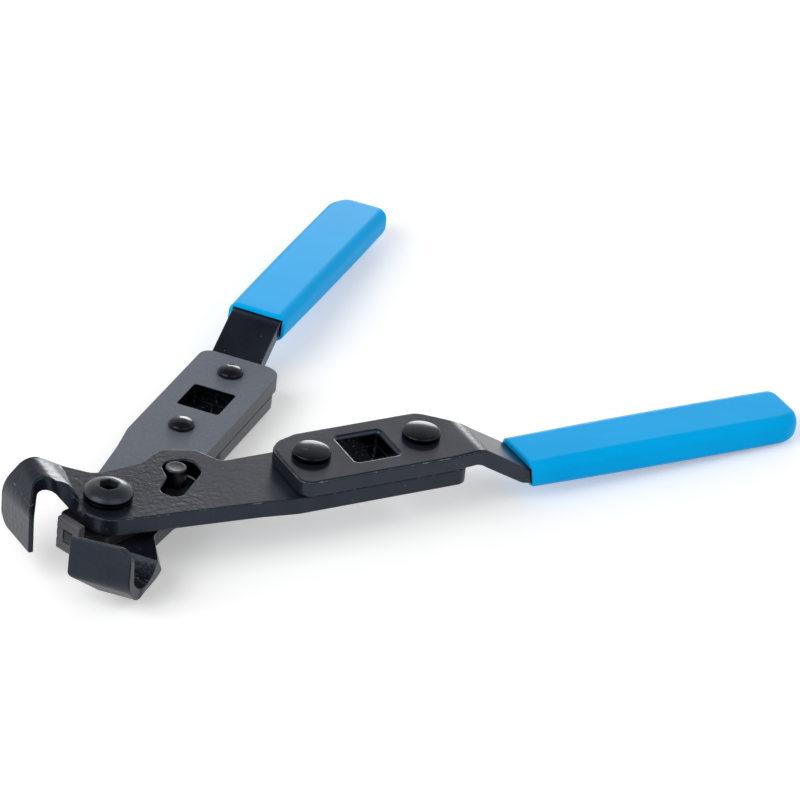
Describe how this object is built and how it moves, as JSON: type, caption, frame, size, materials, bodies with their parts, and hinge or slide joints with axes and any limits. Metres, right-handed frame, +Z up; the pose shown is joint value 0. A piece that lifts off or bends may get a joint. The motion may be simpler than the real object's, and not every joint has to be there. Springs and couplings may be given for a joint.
{
  "type": "ear clamp pliers",
  "caption": "Ear clamp pliers with two hooked jaws, square drive holes in both handles and a press block driven by a pin in slanted cam slots.",
  "frame": {"origin": "middle of the bounding box, on the surface that the tool lies on", "axes": "+X along the upper handle to its grip, +Y to the lower half's handle, +Z up"},
  "size_m": [0.2408, 0.1854, 0.0283],
  "materials": {
    "plate_black": "satin black with a light orange peel",
    "bar_grey": "satin dark grey",
    "gloss_black": "gloss black",
    "bright_steel": "oiled bare steel",
    "pin_steel": "dark oiled steel",
    "grip_blue": "smooth soft vinyl, slightly glossy"
  },
  "bodies": {
    "upper_half": {"jaw_plate_upper": "plate_black", "handle_bar_upper": "bar_grey", "grip_upper": "grip_blue", "rivet_upper_front": "gloss_black", "rivet_upper_rear": "gloss_black", "pivot_screw": "gloss_black", "pivot_washer_top": "gloss_black", "pivot_washer_bottom": "gloss_black", "pivot_nut": "gloss_black"},
    "lower_half": {"jaw_plate_lower": "plate_black", "handle_bar_lower": "bar_grey", "grip_lower": "grip_blue", "rivet_lower_front": "gloss_black", "rivet_lower_rear": "gloss_black"},
    "guide": {"pivot_bush": "bright_steel"},
    "press": {"press_slide": "bright_steel", "press_block": "bar_grey", "cam_pin": "pin_steel"}
  },
  "joints": [
    {"name": "handle_hinge", "type": "hinge", "parent": "upper_half", "child": "lower_half", "pos_m": [-0.09727, -0.0627, 0.01541], "axis": [-0.0464, 0.0364, -0.9983], "range_deg": [0, 40]},
    {"name": "guide_hinge", "type": "hinge", "parent": "upper_half", "child": "guide", "pos_m": [-0.09727, -0.0627, 0.01541], "axis": [-0.0464, 0.0364, -0.9983], "range_deg": [0, 20]},
    {"name": "press_travel", "type": "slide", "parent": "guide", "child": "press", "axis": [-0.9366, -0.349, 0.0308], "range_m": [0, 0.0056]}
  ],
  "couplings": [
    {"joint": "guide_hinge", "follows": "handle_hinge", "ratio": 0.5},
    {"joint": "press_travel", "follows": "handle_hinge", "m_per_rad": 0.0080214}
  ]
}
